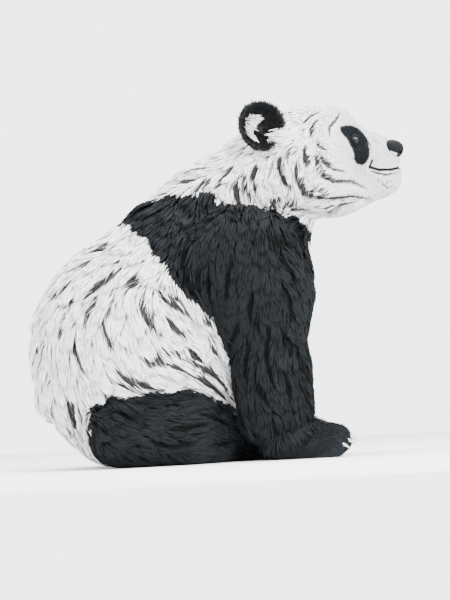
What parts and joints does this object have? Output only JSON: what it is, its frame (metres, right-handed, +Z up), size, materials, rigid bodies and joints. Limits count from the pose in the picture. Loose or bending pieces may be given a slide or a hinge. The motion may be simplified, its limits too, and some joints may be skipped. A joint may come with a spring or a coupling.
{
  "type": "life-size giant panda, sitting still model",
  "caption": "Giant panda sitting on its rump with straight forelegs and raised chin, a still life-size model with tapered coat locks.",
  "frame": {"origin": "on the floor, under the middle of the animal's outline", "axes": "+X the way the animal faces, +Y to its left, +Z up"},
  "size_m": [0.9736, 0.5894, 0.9079],
  "materials": {
    "coat_white": "matte, long soft fur",
    "coat_body": "matte, long soft fur, white with a black band over the shoulders",
    "coat_head": "matte, short soft fur, white with black eye patches",
    "coat_black": "matte, long soft fur",
    "nose_leather": "moist, fine pebbled grain",
    "eye": "glossy dark brown",
    "claw": "satin horn"
  },
  "bodies": {
    "root": {"torso": "coat_body", "neck": "coat_white", "head": "coat_head", "nose": "nose_leather", "tail": "coat_white", "ear_right": "coat_black", "upper_arm_right": "coat_black", "forearm_right": "coat_black", "forepaw_right": "coat_black", "thigh_right": "coat_black", "shin_right": "coat_black", "hindfoot_right": "coat_black", "eye_right": "eye", "claw_fore_right_1": "claw", "claw_fore_right_2": "claw", "claw_fore_right_3": "claw", "claw_fore_right_4": "claw", "claw_fore_right_5": "claw", "claw_hind_right_1": "claw", "claw_hind_right_2": "claw", "claw_hind_right_3": "claw", "claw_hind_right_4": "claw", "claw_hind_right_5": "claw", "ear_left": "coat_black", "upper_arm_left": "coat_black", "forearm_left": "coat_black", "forepaw_left": "coat_black", "thigh_left": "coat_black", "shin_left": "coat_black", "hindfoot_left": "coat_black", "eye_left": "eye", "claw_fore_left_1": "claw", "claw_fore_left_2": "claw", "claw_fore_left_3": "claw", "claw_fore_left_4": "claw", "claw_fore_left_5": "claw", "claw_hind_left_1": "claw", "claw_hind_left_2": "claw", "claw_hind_left_3": "claw", "claw_hind_left_4": "claw", "claw_hind_left_5": "claw"}
  },
  "joints": []
}
